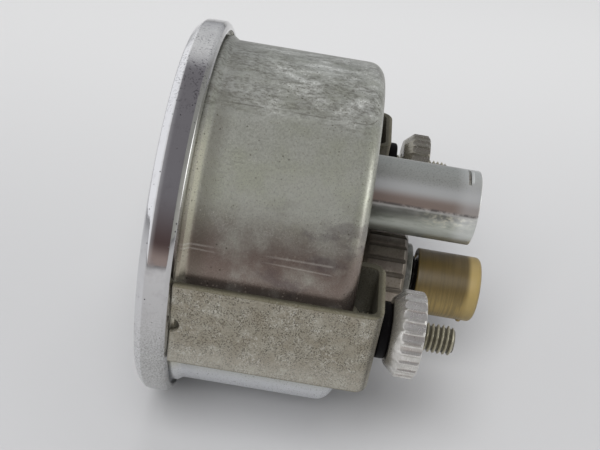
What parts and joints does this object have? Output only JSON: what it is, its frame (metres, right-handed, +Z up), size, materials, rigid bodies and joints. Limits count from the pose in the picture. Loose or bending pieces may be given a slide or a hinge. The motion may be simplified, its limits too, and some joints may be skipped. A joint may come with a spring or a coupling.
{
  "type": "oil pressure gauge",
  "caption": "Round panel gauge with chromed bezel, drawn case, lamp tube, capped pressure port and two clamp brackets on studs with knurled thumb nuts.",
  "frame": {"origin": "centre of the panel seat, on the plane of the bezel's rear rim", "axes": "+Y along the gauge's axis to the rear, dial faces -Y, +Z up with the lamp tube on top"},
  "size_m": [0.0568, 0.0487, 0.0568],
  "materials": {
    "bezel_chrome": "pitted bright chrome",
    "clear_glass": "clear polished",
    "black_rubber": "satin",
    "zinc_plate": "dull zinc plate",
    "black_paint": "matt",
    "white_paint": "matt",
    "pointer_paint": "matt",
    "brass": "machined",
    "spring_bronze": "drawn",
    "small_screws": "machined",
    "stud_steel": "dull zinc plate",
    "bracket_steel": "matt speckled",
    "nut_aluminium": "turned",
    "collar_steel": "turned, dull",
    "washer_fibre": "matt",
    "cap_plastic": "translucent, aged"
  },
  "bodies": {
    "gauge": {"bezel_ring": "bezel_chrome", "lens_glass": "clear_glass", "lens_gasket": "black_rubber", "case_shell": "zinc_plate", "dial_spacer": "white_paint", "dial_plate": "black_paint", "dial_screws": "small_screws", "hairspring": "spring_bronze", "movement_front_plate": "brass", "movement_rear_plate": "brass", "movement_pillars": "brass", "plate_screws": "small_screws", "block_screws": "small_screws", "bourdon_tube": "spring_bronze", "port_block": "brass", "port_washer": "washer_fibre", "port_collar_nut": "collar_steel", "port_lock_ring": "collar_steel", "lamp_tube": "zinc_plate", "near_stud": "stud_steel", "far_stud": "stud_steel"},
    "pointer_arbor": {"pointer": "pointer_paint", "pinion_arbor": "brass"},
    "sector": {"sector_gear": "brass"},
    "tube_tip": {"bourdon_tip": "brass"},
    "link": {"link_bar": "brass"},
    "cap": {"port_cap": "cap_plastic"},
    "near_clamp": {"near_clamp_bracket": "bracket_steel", "near_rubber_washer": "black_rubber"},
    "near_nut": {"near_thumb_nut": "nut_aluminium"},
    "far_clamp": {"far_clamp_bracket": "bracket_steel", "far_rubber_washer": "black_rubber"},
    "far_nut": {"far_thumb_nut": "nut_aluminium"}
  },
  "joints": [
    {"name": "sector_turn", "type": "hinge", "parent": "gauge", "child": "sector", "pos_m": [0.007, 0.009, -0.01212], "axis": [0, -1, 0], "range_deg": [0, 34.29]},
    {"name": "pointer_turn", "type": "hinge", "parent": "gauge", "child": "pointer_arbor", "pos_m": [0, 0.009, 0], "axis": [0, 1, 0], "range_deg": [0, 240]},
    {"name": "tip_travel", "type": "slide", "parent": "gauge", "child": "tube_tip", "axis": [0.5736, 0, 0.8192], "range_m": [0, 0.0032], "deforming": ["bourdon_tube"]},
    {"name": "link_swing", "type": "hinge", "parent": "tube_tip", "child": "link", "pos_m": [0.01312, 0.0105, -0.00552], "axis": [0, 1, 0], "range_deg": [0, 8.64]},
    {"name": "cap_pull", "type": "slide", "parent": "gauge", "child": "cap", "axis": [0, 1, 0], "range_m": [0, 0.014]},
    {"name": "near_clamp_slide", "type": "slide", "parent": "gauge", "child": "near_clamp", "axis": [0, 1, 0], "range_m": [0, 0.0042]},
    {"name": "near_nut_spin", "type": "hinge", "parent": "near_clamp", "child": "near_nut", "pos_m": [0.0214, 0.031, 0], "axis": [0, 1, 0], "range_deg": [0, 2160.1]},
    {"name": "far_clamp_slide", "type": "slide", "parent": "gauge", "child": "far_clamp", "axis": [0, 1, 0], "range_m": [0, 0.0032]},
    {"name": "far_nut_spin", "type": "hinge", "parent": "far_clamp", "child": "far_nut", "pos_m": [-0.0214, 0.031, 0], "axis": [0, 1, 0], "range_deg": [0, 1645.81]}
  ],
  "couplings": [
    {"joint": "pointer_turn", "follows": "sector_turn", "ratio": 7},
    {"joint": "tip_travel", "follows": "sector_turn", "m_per_rad": 0.0053543},
    {"joint": "link_swing", "follows": "sector_turn", "ratio": 0.25209},
    {"joint": "near_nut_spin", "follows": "near_clamp_slide", "rad_per_m": 8976},
    {"joint": "far_nut_spin", "follows": "far_clamp_slide", "rad_per_m": 8976}
  ]
}
